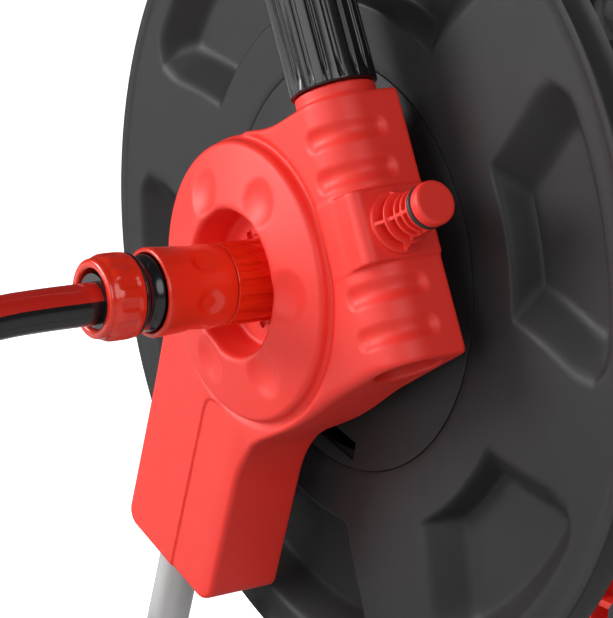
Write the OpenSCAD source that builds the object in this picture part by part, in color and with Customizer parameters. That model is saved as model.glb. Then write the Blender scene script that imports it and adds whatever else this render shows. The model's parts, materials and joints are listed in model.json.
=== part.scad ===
// Two-wheeled garden hose reel cart.
// Row frame: +Z up, the drum turns about X, the front feet are towards -Y and the
// push handle towards +Y. The water inlet is on the -X side, the crank on the +X side.
// The origin is on the ground, under the middle of the cart's own box.

/* [Drum] */
// Radius of a drum flange
flange_r = 178; // [170:1:184]
// Distance from the middle of the drum to the outer face of a flange
flange_x = 130; // [122:1:134]
// Radius of the barrel that the hose is wound on
barrel_r = 80; // [60:1:81]
// Depth of the six pockets in a flange
pocket_depth = 12; // [6:1:20]

/* [Stand] */
// Height of the drum axis above the ground
axis_height = 340; // [335:1:360]
// Outside radius of the frame tubes
tube_r = 9; // [8:0.5:9.5]
// Wall of the frame tubes
tube_wall = 1.2; // [0.8:0.1:2]
// Radius of the wheels
wheel_r = 76; // [74:1:84]
// Width of a tyre
wheel_w = 34; // [26:1:38]

/* [Handle] */
// Length of a handle leg from the drum axis to the middle of the cross grip
handle_rise = 620; // [520:5:700]
// Number of ribs round a twist-lock collar
collar_ribs = 18; // [12:1:24]

/* [Crank] */
// Throw of the crank
crank_throw = 110; // [90:1:125]

/* [Hose] */
// Outside diameter of the supply hose
hose_d = 16.4; // [14:0.2:16.4]

/* [Hidden] */
$fn = 64;
gap = 0.3; // clearance between pieces that move on each other
fit = 0.1; // clearance between pieces that are pushed together
run = 0.05; // clearance of a shaft in its bearing

// The side bracket has its own frame: x forward, y up, z outward from the cart,
// with the drum axis at x = y = 0 and the front edge of the hub ring at z = 0.
side_x = 180; // from the middle of the drum to the hub ring's edge
face_n = -3.8; // front face of the casing
back_n = -37.6; // rear edge of the casing
casing_wall = 2.5;
ring_r = 55.5; // domed hub ring with the thumb dimples
ring_hole_r = 28.7;
ring_top_n = 5.4;
recess_n = -10; // floor of the hub recess
recess_hole_r = 17.6;
dimple_r = 42.3;
dimple_d = 17;
dimple_sphere_r = 22;
handle_tilt = 26; // handle tubes lean back by this much
leg_tilt = 20; // leg tubes run down and back by this much
tube_n = -20.7; // plane of all frame tubes
tube_x = side_x + tube_n;
handle_a = 64.6; // handle tube, in front of the drum axis
body_a = 81; // front edge of the casing
body_top = 50;
body_bottom = -54;
socket_r = 12.8; // guide bore for the handle tube
socket_top = 40;
corner_r = 16.9;
flute_r = 5;
leg_c = -29.1; // leg tube, behind the drum axis
leg_back_c = -49;
leg_front_c = 17;
leg_step_c = -11.3; // the face is higher behind this line
leg_step_end = 60;
leg_step = 0.7;
leg_end = 148;
leg_bore_start = 50;
facet_a = 82.3; // square seat of the nozzle peg
facet_low = -16;
facet_high = 12;
facet_n = -7.5;
peg_b = -2.3;
peg_root_r = 5;
peg_head_r = 8.4;
peg_head_len = 5;
peg_len = 26.5;
cover_t = 1.6;
screw_r = 1.5;
screw_len = 12;

// Neck and twist lock, as distances along the handle tube
neck_r = 15.6;
neck_top = 54.7;
thread_r = 13.2;
thread_top = 70;
collar_r = 17;
collar_len = 60;
collar_cap = 8;
collet_len = 24;
bush_len = 18;
tube_bottom = socket_top - gap - bush_len;
grip_r = 14;
grip_len = 190;
handle_corner_r = 60;

// Lower frame
low_z = 18; // axis height of the tubes near the ground
leg_low = -318; // lower end of the leg tubes
base_corner_r = 60;
base_front = 228;
base_back = -118;
axle_u = -143;
axle_r = 4;
foot_u = 115;
foot_len = 40;
foot_half = 14;
foot_h = 28;
bracket_half = 13; // half width of a wheel bracket
wheel_x = tube_x + bracket_half + 4.7; // inner face of a wheel
axle_half = wheel_x + wheel_w + 5;
axle_cap_x = axle_half + 4;
tyre_t = 13;
rim_hub_r = 15;

// Drum
plate = 3;
lip_depth = 12;
cap_r = 83;
cap_gap = 0.4;
cap_t = 1.5;
n_pockets = 6;
first_pocket = 15;
pocket_in_r = 107;
pocket_out_r = 162;
shaft_r = 12;
water_r = 7.4;
shaft_end_n = -6;
bush_r = 16;
outlet_r = 9;
outlet_len = 34;

// Crank
crank_arm_n = 14; // inner face of the crank arm
crank_arm_t = 12;
crank_hub_r = 15;
knob_r = 14;
knob_len = 84;
spindle_r = 5;
knob_end_x = side_x + crank_arm_n + crank_arm_t + 2 + knob_len;

// Inlet and quick connector, as distances outward from the hub ring's edge
nipple_r = 7;
flow_r = 4.2;
seal_ring_r = 6.4; // middle of the seal's section
nut_in_n = -12;
nut_out_n = 10.8;
inlet_nut_r = 16.3;
sleeve_in_n = 11.1;
sleeve_out_n = 42.5;
sleeve_r = 17.4;
sleeve_wall = 1.7;
ring_out_n = 51.7;
ring_r_out = 15.3;
nut_end_n = 67;
middle_x = (side_x + nut_end_n - knob_end_x) / 2; // puts the cart's box over the origin
nut_r = 17.2;
nut_mouth_r = 11.5;
hose_start_n = 56;
hose_r = hose_d / 2;

// The supply hose: its drop from the connector, its coil on the ground and its tail,
// measured from the ground under the middle of the drum
coil_x = -455;
coil_y = 80;
coil_in_r = 80; // centreline of the first turn
coil_out_r = 120; // centreline where the last turn ends
lead_route = [
    [-236, 0, 340], [-252, 0, 340.1], [-268, 0, 340.3], [-284, 0, 340], [-300, 0, 338.2],
    [-316, 0, 333.8], [-331.6, 0, 326.4], [-345, 0, 315.6], [-356, 0, 301.4], [-364.6, 0, 284.6],
    [-370.4, 0, 266], [-374, 0, 246.4], [-376, 0, 226], [-377, 0, 205],
    [-377.8, 0, 183], [-379, 0, 161.6], [-380.6, 0, 141], [-383, 0, 121.2],
    [-386.8, 0, 101.8], [-392.4, 0, 83.2], [-400.2, 0, 66], [-410.2, 0, 50.4], [-422, 0, 37],
    [-436, 0, 24.5]
];
tail_route = [
    [-575, 80, 8.2], [-575, 96, 8.4], [-575, 112, 9.4], [-575, 128, 11.2],
    [-575, 144, 13.6], [-575, 160, 15.8], [-575, 174, 17], [-575, 188, 17.4]
];

// ---------- frames ----------
// from the middle of the drum, on the ground
module cart() {
    translate([middle_x, 0, 0]) children();
}
module inlet_side() {
    cart() translate([-side_x, 0, axis_height]) rotate([90, 0, -90]) children();
}
module crank_side() {
    cart() mirror([1, 0, 0]) translate([-side_x, 0, axis_height]) rotate([90, 0, -90]) children();
}
// x forward and up, y along the handle tube, z outward
module handle_frame() {
    rotate([0, 0, handle_tilt]) children();
}
// y up along the leg tube
module leg_frame() {
    rotate([0, 0, -leg_tilt]) children();
}
// z up along the handle tube
module on_handle_tube(b = 0) {
    handle_frame() translate([handle_a, b, tube_n]) rotate([-90, 0, 0]) children();
}
module on_leg_tube(b = 0) {
    leg_frame() translate([leg_c, b, tube_n]) rotate([-90, 0, 0]) children();
}
module at_cover_screws() {
    for (deg = [120, 205, 318]) rotate([0, 0, deg]) translate([dimple_r, 0, back_n]) children();
    handle_frame() for (p = [[43, 41], [42, -46]]) translate([p[0], p[1], back_n]) children();
    leg_frame() for (b = [-98, -136]) translate([3, b, back_n]) children();
}

// ---------- plain shapes ----------
module pipe(r, bore, h) {
    difference() {
        cylinder(r = r, h = h);
        translate([0, 0, -1]) cylinder(r = bore, h = h + 2);
    }
}
module bend(r, radius, wall, deg) {
    rotate_extrude(angle = deg, $fn = 96) translate([radius, 0]) difference() {
        circle(r = r);
        circle(r = r - wall);
    }
}
module ribs(count, r, rib_r, h) {
    for (i = [0:count - 1])
        rotate([0, 0, i * 360 / count]) translate([r, 0, 0]) cylinder(r = rib_r, h = h, $fn = 16);
}

// ---------- side bracket ----------
module casing_disc(inset) {
    circle(r = ring_r + 0.5 - inset, $fn = 96);
}
module casing_head(inset) {
    handle_frame() polygon([
        [0, body_top - inset], [body_a - inset, body_top - inset],
        [body_a - inset, body_bottom + inset], [-22, body_bottom - 6 + inset]
    ]);
}
module casing_leg(inset) {
    leg_frame() translate([leg_back_c + inset, -leg_end + inset])
        square([leg_front_c - leg_back_c - 2 * inset, leg_end - inset]);
}
module casing(inset, h) {
    linear_extrude(h) {
        casing_disc(inset);
        casing_head(inset);
        casing_leg(inset);
    }
}
module facet_block(grow) {
    handle_frame() translate([handle_a - grow, facet_low, back_n - grow])
        cube([facet_a - handle_a + grow, facet_high - facet_low, facet_n - back_n + grow]);
}
module rounded_front(peg_facet) {
    difference() {
        handle_frame() difference() {
            translate([handle_a, -80, tube_n]) cube([40, 160, 40]);
            translate([handle_a, 0, tube_n]) rotate([90, 0, 0])
                cylinder(r = corner_r - 0.5, h = 200, center = true);
        }
        if (peg_facet) facet_block(1);
    }
}
module flutes() {
    for (b = [37, 20, -24, -41])
        on_handle_tube(b) rotate([0, 0, -90]) rotate_extrude(angle = 95, $fn = 64)
            translate([corner_r + 2.6, 0]) circle(r = flute_r, $fn = 32);
}
module hub_ring() {
    deep = back_n + cover_t + fit;
    rotate_extrude($fn = 96) polygon([
        [ring_hole_r, deep], [ring_hole_r + casing_wall, deep],
        [ring_hole_r + casing_wall, ring_top_n - 3.2], [ring_r - casing_wall, -3],
        [ring_r - casing_wall, deep], [ring_r, deep], [ring_r, -1.5],
        [ring_r - 1.5, 0], [ring_hole_r + 1.5, ring_top_n], [ring_hole_r, ring_top_n - 1.5]
    ]);
}
module dimples() {
    lift = sqrt(pow(dimple_sphere_r, 2) - pow(dimple_d / 2, 2));
    for (i = [0:5]) rotate([0, 0, 3 + 60 * i])
        translate([dimple_r, 0, 2.7 + lift]) sphere(r = dimple_sphere_r);
}
module bracket(peg_facet) {
    color("tomato") difference() {
        union() {
            difference() {
                union() {
                    translate([0, 0, back_n]) casing(0, face_n - back_n);
                    leg_frame() translate([leg_back_c + 1, -leg_end + 1, face_n - 1])
                        cube([leg_step_c - leg_back_c - 1, leg_end - leg_step_end, 1 + leg_step]);
                    if (peg_facet) facet_block(0);
                }
                translate([0, 0, back_n - 1]) casing(casing_wall, face_n - back_n + 1 - casing_wall);
                rounded_front(peg_facet);
            }
            hub_ring();
            on_handle_tube(body_bottom) cylinder(r = socket_r + 2.2, h = body_top - body_bottom);
            on_handle_tube(body_top - casing_wall)
                cylinder(r = neck_r, h = neck_top - body_top + casing_wall);
            on_handle_tube() cylinder(r = thread_r, h = thread_top);
            on_leg_tube(-leg_end) cylinder(r = tube_r + 3, h = leg_end - leg_bore_start + 4);
            translate([0, 0, back_n + cover_t + fit])
                cylinder(r = bush_r + 4, h = recess_n - back_n - cover_t - fit);
            translate([0, 0, recess_n - 3]) cylinder(r = ring_hole_r + 1, h = 3);
            translate([0, 0, cover_t + fit]) at_cover_screws()
                cylinder(r = 3.6, h = face_n - back_n - cover_t - 1);
        }
        dimples();
        flutes();
        on_handle_tube(body_bottom - 8) cylinder(r = socket_r, h = socket_top - body_bottom + 8);
        on_handle_tube() cylinder(r = tube_r + gap, h = 100);
        on_leg_tube(-leg_end - 1) cylinder(r = tube_r + fit, h = leg_end + 1 - leg_bore_start);
        translate([0, 0, recess_n]) cylinder(r = ring_hole_r, h = 30);
        translate([0, 0, nut_in_n - gap]) cylinder(r = recess_hole_r, h = 10);
        translate([0, 0, back_n - 1]) cylinder(r = bush_r + fit, h = 40);
        at_cover_screws() cylinder(r = screw_r + fit, h = screw_len, $fn = 24);
        if (peg_facet) handle_frame() translate([facet_a - 1.8, peg_b, tube_n]) rotate([0, 90, 0])
            cylinder(r = peg_root_r + fit, h = 5);
    }
}
module inner_cover() {
    color("firebrick") difference() {
        translate([0, 0, back_n]) {
            linear_extrude(cover_t) casing_disc(casing_wall + fit);
            linear_extrude(cover_t) casing_head(casing_wall + fit);
            linear_extrude(cover_t) casing_leg(casing_wall + fit);
        }
        translate([0, 0, back_n - 1]) cylinder(r = bush_r + fit, h = 10);
        at_cover_screws() translate([0, 0, -1]) cylinder(r = screw_r + fit, h = 6, $fn = 24);
    }
}
module side_screws() {
    color("silver") at_cover_screws() {
        translate([0, 0, -2]) cylinder(r = 3, h = 2, $fn = 24);
        translate([0, 0, -1]) cylinder(r = screw_r, h = screw_len - 1, $fn = 24);
    }
}
module bearing() {
    color("ivory") translate([0, 0, back_n]) difference() {
        union() {
            translate([0, 0, -2]) cylinder(r = bush_r + 3, h = 2);
            translate([0, 0, -1]) cylinder(r = bush_r, h = recess_n - back_n - 2);
            cylinder(r = 13.8, h = shaft_end_n + 0.5 - back_n);
        }
        translate([0, 0, -3]) cylinder(r = shaft_r + run, h = 60);
    }
}

// ---------- nozzle peg ----------
module on_peg(a = 0) {
    handle_frame() translate([facet_a + a, peg_b, tube_n]) rotate([0, 90, 0]) children();
}
module nozzle_peg() {
    color("tomato") inlet_side() {
        on_peg(-1.7) cylinder(r = peg_root_r, h = 4);
        on_peg() cylinder(r = 12.2, h = 2);
        on_peg(6) cylinder(r = 9.9, h = 1.2);
        on_peg(11) cylinder(r = 8.2, h = 1.2);
        on_peg(15) cylinder(r = 8.2, h = 1.2);
        on_peg(18.2) cylinder(r = 8.2, h = 1.2);
        on_peg() cylinder(r = 4, h = peg_len);
        for (deg = [0, 90]) on_peg(1) rotate([0, 0, deg])
            translate([-7.6, -0.8, 0]) cube([15.2, 1.6, 18]);
        on_peg(19) cylinder(r = 7, h = 4);
        on_peg(peg_len - peg_head_len) cylinder(r = peg_head_r, h = peg_head_len);
    }
}
module peg_seal() {
    color("dimgray") inlet_side() on_peg(19.4) translate([0, 0, 1.05]) rotate_extrude()
        translate([7.9, 0]) circle(r = 0.9, $fn = 24);
}

// ---------- twist locks ----------
module collar() {
    color("black") on_handle_tube(neck_top + gap) difference() {
        union() {
            cylinder(r = collar_r - 1.2, h = collar_len);
            ribs(collar_ribs, collar_r - 1.3, 1.3, collar_len - 3);
        }
        translate([0, 0, -1]) cylinder(r = thread_r + gap, h = collar_len - collar_cap + 1);
        cylinder(r = tube_r + gap, h = collar_len + 1);
    }
}
module collet() {
    color("dimgray") on_handle_tube(thread_top) pipe(thread_r, tube_r + gap, collet_len);
}

// ---------- handle ----------
// a U of tube: two legs along z, joined at z = reach
module u_tube(start, reach, corner) {
    bore = tube_r - tube_wall;
    for (side = [-1, 1]) translate([side * tube_x, 0, start]) pipe(tube_r, bore, reach - corner - start);
    for (turn = [0, 180]) rotate([0, 0, turn])
        translate([tube_x - corner, 0, reach - corner]) rotate([90, 0, 0])
            bend(tube_r, corner, tube_wall, 90);
    translate([-tube_x + corner, 0, reach]) rotate([0, 90, 0]) pipe(tube_r, bore, 2 * (tube_x - corner));
}
module handle_tube() {
    color("silver") cart() translate([0, 0, axis_height]) rotate([-handle_tilt, 0, 0])
        translate([0, -handle_a, 0]) u_tube(tube_bottom, handle_rise, handle_corner_r);
}
module handle_grip() {
    color("black") cart() translate([0, 0, axis_height]) rotate([-handle_tilt, 0, 0])
        translate([-grip_len / 2, -handle_a, handle_rise]) rotate([0, 90, 0])
            pipe(grip_r, tube_r + fit, grip_len);
}
module glide_bush() {
    color("dimgray") on_handle_tube(tube_bottom) pipe(socket_r - gap, tube_r, bush_len);
}

// ---------- lower frame ----------
module leg_tube() {
    color("silver") on_leg_tube(leg_low) pipe(tube_r, tube_r - tube_wall, -leg_bore_start - leg_low);
}
module base_tube() {
    color("silver") cart() translate([0, 0, low_z]) rotate([90, 0, 0])
        u_tube(base_back, base_front - tube_r, base_corner_r);
}
module foot() {
    color("black") translate([foot_u, -axis_height, tube_n]) difference() {
        union() {
            translate([0, 0, -foot_half]) cube([foot_len, foot_h - foot_half, 2 * foot_half]);
            translate([0, foot_h - foot_half, 0]) rotate([0, 90, 0])
                cylinder(r = foot_half, h = foot_len);
        }
        translate([-1, low_z, 0]) rotate([0, 90, 0]) cylinder(r = tube_r + fit, h = foot_len + 2);
    }
}

// ---------- wheels ----------
module at_axle(n = 0) {
    translate([axle_u, wheel_r - axis_height, n]) children();
}
// moulded corner that holds the leg tube, the base tube's end and the axle
module wheel_bracket() {
    color("black") difference() {
        union() {
            translate([0, -axis_height, tube_n - bracket_half]) linear_extrude(2 * bracket_half)
                polygon([[-95.8, 123.6], [-120.2, 132.4], [-152, 93], [-156, 5],
                    [-85, 5], [-85, 31], [-122, 51]]);
            at_axle(tube_n - bracket_half) cylinder(r = 12, h = 2 * bracket_half);
        }
        on_leg_tube(leg_low) cylinder(r = tube_r + fit, h = 140);
        translate([base_back, low_z - axis_height, tube_n]) rotate([0, 90, 0])
            cylinder(r = tube_r + fit, h = 60);
        at_axle(tube_n - bracket_half - 1) cylinder(r = axle_r + fit, h = 40);
    }
}
module axle() {
    color("silver") cart() translate([-axle_half, -axle_u, wheel_r]) rotate([0, 90, 0])
        cylinder(r = axle_r, h = 2 * axle_half);
}
wheel_in_n = wheel_x - side_x;
module wheel_spacer() {
    color("dimgray") at_axle(tube_n + bracket_half)
        pipe(8, axle_r + fit, wheel_in_n - gap - tube_n - bracket_half);
}
module tyre() {
    tread = wheel_r - tyre_t;
    color("dimgray") at_axle(wheel_in_n) rotate_extrude($fn = 96) polygon([
        [tread, 3], [wheel_r - 5, 0], [wheel_r, 5], [wheel_r, wheel_w - 5],
        [wheel_r - 5, wheel_w], [tread, wheel_w - 3]
    ]);
}
module wheel_rim() {
    rim = wheel_r - tyre_t;
    color("tomato") at_axle(wheel_in_n) difference() {
        union() {
            pipe(rim, rim - 4, wheel_w);
            cylinder(r = rim_hub_r, h = wheel_w);
            translate([0, 0, wheel_w / 2 - 3]) cylinder(r = rim - 2, h = 4);
            for (i = [0:5]) rotate([0, 0, 60 * i]) translate([0, -2, 3])
                cube([rim - 2, 4, wheel_w - 6]);
        }
        translate([0, 0, -1]) cylinder(r = axle_r + run, h = wheel_w + 2);
        for (i = [0:5]) rotate([0, 0, 30 + 60 * i]) translate([42, 0, -1])
            cylinder(r = 13, h = wheel_w + 2);
    }
}
module axle_cap() {
    color("black") at_axle(wheel_in_n + wheel_w + gap) difference() {
        cylinder(r = 10, h = axle_cap_x - wheel_x - wheel_w - gap);
        translate([0, 0, -1]) cylinder(r = axle_r + fit, h = axle_half - wheel_x - wheel_w - gap + 1);
    }
}

// ---------- drum ----------
flange_n = flange_x - side_x;
// one pocket's outline: narrow near the hub, wide and arched at the rim
function pocket_half(r) = r < pocket_in_r + 36
    ? 15.5 + 5 * (r - pocket_in_r) / 36 : 20.5;
module pocket_shape(inset) {
    top = pocket_out_r - inset;
    side = [for (r = [pocket_in_r + inset, pocket_in_r + 36, pocket_out_r - 8])
        [r, pocket_half(r) - inset * 57.3 / r]];
    arc = [for (k = [1:-0.25:-1]) [top, k * 17]];
    ends = [for (p = side) [p[0], -p[1]]];
    polygon([for (p = concat(side, arc, [ends[2], ends[1], ends[0]]))
        p[0] * [cos(p[1]), sin(p[1])]]);
}
module at_pockets() {
    for (i = [0:n_pockets - 1]) rotate([0, 0, first_pocket + i * 360 / n_pockets]) children();
}
module flange() {
    color("dimgray") difference() {
        union() {
            translate([0, 0, flange_n - plate]) cylinder(r = flange_r, h = plate, $fn = 128);
            translate([0, 0, flange_n - lip_depth]) pipe(flange_r, flange_r - plate, lip_depth);
            at_pockets() translate([0, 0, flange_n - pocket_depth - plate])
                linear_extrude(pocket_depth + 1) pocket_shape(0);
        }
        at_pockets() translate([0, 0, flange_n - pocket_depth])
            linear_extrude(pocket_depth + 1) pocket_shape(plate);
        translate([0, 0, flange_n - cap_t]) cylinder(r = cap_r + cap_gap, h = 10);
        translate([0, 0, flange_n - 10]) cylinder(r = barrel_r - 4, h = 20);
    }
}
module drum_cap(slot) {
    color("dimgray") difference() {
        union() {
            translate([0, 0, flange_n - cap_t]) cylinder(r = cap_r, h = cap_t);
            translate([0, 0, flange_n - 6]) cylinder(r = barrel_r - 4 - fit, h = 5);
        }
        translate([0, 0, flange_n - 7]) cylinder(r = shaft_r + fit, h = 10);
        if (slot) rotate([0, 0, -105]) translate([67.5, -22, flange_n - 7]) cube([8.2, 48, 8]);
    }
}
module barrel() {
    half = flange_x - plate;
    color("dimgray") cart() translate([-half, 0, axis_height]) rotate([0, 90, 0]) difference() {
        pipe(barrel_r, barrel_r - plate, 2 * half);
        translate([0, 0, half]) rotate([0, 90, 0]) cylinder(r = outlet_r + gap, h = 100);
    }
}
// The shafts pass through the caps into the drum. The outlet hangs at the crank's side.
module water_shaft() {
    start = -side_x - 14;
    color("ivory") translate([0, 0, start]) difference() {
        union() {
            cylinder(r = shaft_r, h = shaft_end_n - start);
            cylinder(r = shaft_r + 5, h = 28);
            translate([0, 0, flange_n - 10 - start]) cylinder(r = shaft_r + 14, h = 4);
        }
        translate([0, 0, 14]) cylinder(r = water_r, h = 300);
        translate([0, 0, -start - side_x]) rotate([90, 0, 0]) cylinder(r = outlet_r + fit, h = 20);
    }
}
module outlet_elbow() {
    color("ivory") cart() translate([0, 0, axis_height]) rotate([0, 180, 0]) {
        translate([0, 0, water_r + 1]) pipe(outlet_r, 6, barrel_r - water_r - 1 + outlet_len);
        translate([0, 0, barrel_r + gap]) pipe(outlet_r + 4, 6, 6);
    }
}

// ---------- crank ----------
module crank_shaft() {
    color("silver") difference() {
        union() {
            translate([0, 0, flange_n - 26]) cylinder(r = shaft_r, h = shaft_end_n + 26 - flange_n);
            translate([0, 0, flange_n - 10]) cylinder(r = shaft_r + 14, h = 4);
            translate([0, 0, shaft_end_n - 1]) cylinder(r = 9, h = crank_arm_n + 9 - shaft_end_n);
        }
        translate([0, 0, 0]) cylinder(r = 2.6, h = 40);
    }
}
module crank_arm() {
    color("tomato") translate([0, 0, crank_arm_n]) difference() {
        union() {
            translate([0, 0, -8]) cylinder(r = crank_hub_r, h = crank_arm_t + 8);
            translate([0, -crank_throw, 0]) cylinder(r = 12, h = crank_arm_t);
            translate([-10, -crank_throw, 0]) cube([20, crank_throw, crank_arm_t - 2]);
        }
        translate([0, 0, -9]) cylinder(r = 9 + fit, h = 17);
        cylinder(r = 3.1, h = 20);
        translate([0, -crank_throw, -1]) cylinder(r = spindle_r + fit, h = 20);
    }
}
module crank_screw() {
    color("silver") translate([0, 0, crank_arm_n]) {
        translate([0, 0, crank_arm_t]) cylinder(r = 6, h = 3);
        translate([0, 0, -8]) cylinder(r = 2.5, h = crank_arm_t + 9);
    }
}
module knob_spindle() {
    color("silver") translate([0, -crank_throw, crank_arm_n]) {
        translate([0, 0, -3]) cylinder(r = 8, h = 3);
        translate([0, 0, -1]) cylinder(r = spindle_r, h = crank_arm_t + 1 + knob_len - 8);
    }
}
module crank_knob() {
    start = crank_arm_n + crank_arm_t + 2;
    color("black") translate([0, -crank_throw, start]) difference() {
        rotate_extrude() polygon([
            [0, 0], [11, 0], [12.5, 1.5], [knob_r, 22], [knob_r, knob_len - 10],
            [knob_r - 3, knob_len - 2], [knob_r - 7, knob_len], [0, knob_len]
        ]);
        translate([0, 0, -1]) cylinder(r = spindle_r + run, h = knob_len - 8);
    }
}

// ---------- inlet ----------
module inlet_nipple() {
    color("dimgray") difference() {
        union() {
            translate([0, 0, -30]) cylinder(r = nipple_r, h = 58);
            translate([0, 0, shaft_end_n + 0.5]) cylinder(r = 13.4, h = 3);
        }
        translate([0, 0, -31]) cylinder(r = flow_r, h = 80);
        translate([0, 0, -22]) rotate_extrude() translate([seal_ring_r, 0])
            circle(r = 1, $fn = 24);
    }
}
module inlet_seal() {
    color("black") translate([0, 0, -22]) rotate_extrude()
        translate([seal_ring_r, 0]) circle(r = 0.9, $fn = 24);
}
module inlet_nut() {
    color("orangered") translate([0, 0, nut_in_n]) difference() {
        union() {
            cylinder(r = inlet_nut_r - 1, h = nut_out_n - nut_in_n);
            ribs(16, inlet_nut_r - 1, 1, nut_out_n - nut_in_n);
        }
        translate([0, 0, -1]) cylinder(r = 13.8 + fit, h = shaft_end_n + 4.5 - nut_in_n);
        cylinder(r = nipple_r + fit, h = 60);
    }
}

// ---------- hose connector: the same parts at both ends of the hose ----------
// z runs from the side that clicks on to the side that takes the hose
module hose_end_body() {
    color("black") difference() {
        union() {
            translate([0, 0, sleeve_in_n]) cylinder(r = 12.8, h = ring_out_n - sleeve_in_n);
            translate([0, 0, ring_out_n - 1]) cylinder(r = 11.8, h = hose_start_n + 1 - ring_out_n);
        }
        translate([0, 0, sleeve_in_n - 1]) cylinder(r = nipple_r + fit, h = 28.2 - sleeve_in_n + 1);
        cylinder(r = flow_r, h = 80);
    }
}
module hose_end_sleeve() {
    bore = sleeve_r - sleeve_wall;
    color("orangered") translate([0, 0, sleeve_in_n]) difference() {
        cylinder(r1 = sleeve_r - 0.8, r2 = sleeve_r, h = sleeve_out_n - sleeve_in_n);
        translate([0, 0, 4]) cylinder(r = bore, h = 60);
        translate([0, 0, -1]) cylinder(r = 12.8 + gap, h = 20);
    }
}
module hose_end_ring() {
    color("black") translate([0, 0, sleeve_out_n + 0.2])
        pipe(ring_r_out, 12.8, ring_out_n - sleeve_out_n - 0.2);
}
module hose_end_nut() {
    color("orangered") translate([0, 0, ring_out_n]) difference() {
        union() {
            cylinder(r = nut_r, h = nut_end_n - ring_out_n - 4);
            cylinder(r = nut_r - 3.4, h = nut_end_n - ring_out_n);
        }
        translate([0, 0, -1]) cylinder(r = 11.8 + fit, h = 6.5);
        cylinder(r = nut_mouth_r, h = 40);
    }
}
module hose_end_collet() {
    color("black") translate([0, 0, hose_start_n]) pipe(nut_mouth_r, hose_r, nut_end_n - 1.5 - hose_start_n);
}
module tap_end() {
    last = tail_route[len(tail_route) - 1];
    cart() translate(last) rotate([90, 0, 0]) translate([0, 0, -hose_start_n]) children();
}

// ---------- supply hose ----------
function unit(v) = v / norm(v);
// one ring of points round the route at point i, across the route's direction there
function ring_at(path, i, across, sides) =
    let (last = len(path) - 1)
    let (along = unit(path[min(i + 1, last)] - path[max(i - 1, 0)]))
    let (other = cross(along, across))
    [for (k = [0:sides - 1])
        path[i] + hose_r * (cos(k * 360 / sides) * across + sin(k * 360 / sides) * other)];
module swept(path, across, sides = 12) {
    rows = len(path);
    points = [for (i = [0:rows - 1]) each ring_at(path, i, across, sides)];
    walls = [for (i = [0:rows - 2]) for (k = [0:sides - 1])
        let (m = (k + 1) % sides)
        [i * sides + k, i * sides + m, (i + 1) * sides + m, (i + 1) * sides + k]];
    start_cap = [[for (k = [sides - 1:-1:0]) k]];
    end_cap = [[for (k = [0:sides - 1]) (rows - 1) * sides + k]];
    polyhedron(points, concat(walls, start_cap, end_cap), convexity = 6);
}
module hose_lead() {
    color("black") cart() swept(lead_route, [0, 1, 0]);
}
module hose_tail() {
    color("black") cart() swept(tail_route, [1, 0, 0]);
}
module hose_coil() {
    color("black") cart() translate([coil_x, coil_y, 0]) rotate_extrude($fn = 96)
        translate([coil_in_r - hose_r, 0]) square([coil_out_r - coil_in_r + hose_d, hose_d]);
}

inlet_side() bracket(true);  // left_bracket
crank_side() bracket(false);  // right_bracket
inlet_side() inner_cover();  // left_inner_cover
crank_side() inner_cover();  // right_inner_cover
union() { inlet_side() side_screws(); crank_side() side_screws(); }  // cover_screws
inlet_side() collar();  // left_collar
crank_side() collar();  // right_collar
inlet_side() collet();  // left_collet
crank_side() collet();  // right_collet
handle_tube();
handle_grip();
inlet_side() glide_bush();  // left_glide_bush
crank_side() glide_bush();  // right_glide_bush
inlet_side() leg_tube();  // left_leg_tube
crank_side() leg_tube();  // right_leg_tube
base_tube();
inlet_side() foot();  // left_foot
crank_side() foot();  // right_foot
inlet_side() wheel_bracket();  // left_wheel_bracket
crank_side() wheel_bracket();  // right_wheel_bracket
axle();
inlet_side() tyre();  // left_tyre
crank_side() tyre();  // right_tyre
inlet_side() wheel_rim();  // left_wheel_rim
crank_side() wheel_rim();  // right_wheel_rim
inlet_side() axle_cap();  // left_axle_cap
crank_side() axle_cap();  // right_axle_cap
inlet_side() wheel_spacer();  // left_wheel_spacer
crank_side() wheel_spacer();  // right_wheel_spacer
barrel();
inlet_side() flange();  // left_flange
crank_side() flange();  // right_flange
inlet_side() drum_cap(true);  // left_drum_cap
crank_side() drum_cap(false);  // right_drum_cap
inlet_side() bearing();  // left_bearing
crank_side() bearing();  // right_bearing
inlet_side() water_shaft();
outlet_elbow();
crank_side() crank_shaft();
crank_side() crank_arm();
crank_side() crank_screw();
crank_side() crank_knob();
crank_side() knob_spindle();
nozzle_peg();
peg_seal();
inlet_side() inlet_nipple();
inlet_side() inlet_nut();
inlet_side() inlet_seal();
inlet_side() hose_end_body();  // connector_body
inlet_side() hose_end_sleeve();  // connector_sleeve
inlet_side() hose_end_ring();  // connector_ring
inlet_side() hose_end_nut();  // connector_nut
inlet_side() hose_end_collet();  // connector_collet
hose_lead();
hose_coil();
hose_tail();
tap_end() hose_end_body();  // tap_connector_body
tap_end() hose_end_sleeve();  // tap_connector_sleeve
tap_end() hose_end_nut();  // tap_connector_nut
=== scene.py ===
"""Looks of the garden hose reel cart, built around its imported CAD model.

Row frame, in metres: the drum turns about X, the feet are towards -Y, the push handle
leans towards +Y, the water inlet is on the -X side and the crank on the +X side.
A side bracket is modelled in its own frame, in millimetres: u forward, z up from the
drum's axis, n outward from the front edge of its hub ring.
"""
import json
import math

import bmesh
import bpy
import numpy as np
from mathutils import Matrix, Vector

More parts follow.
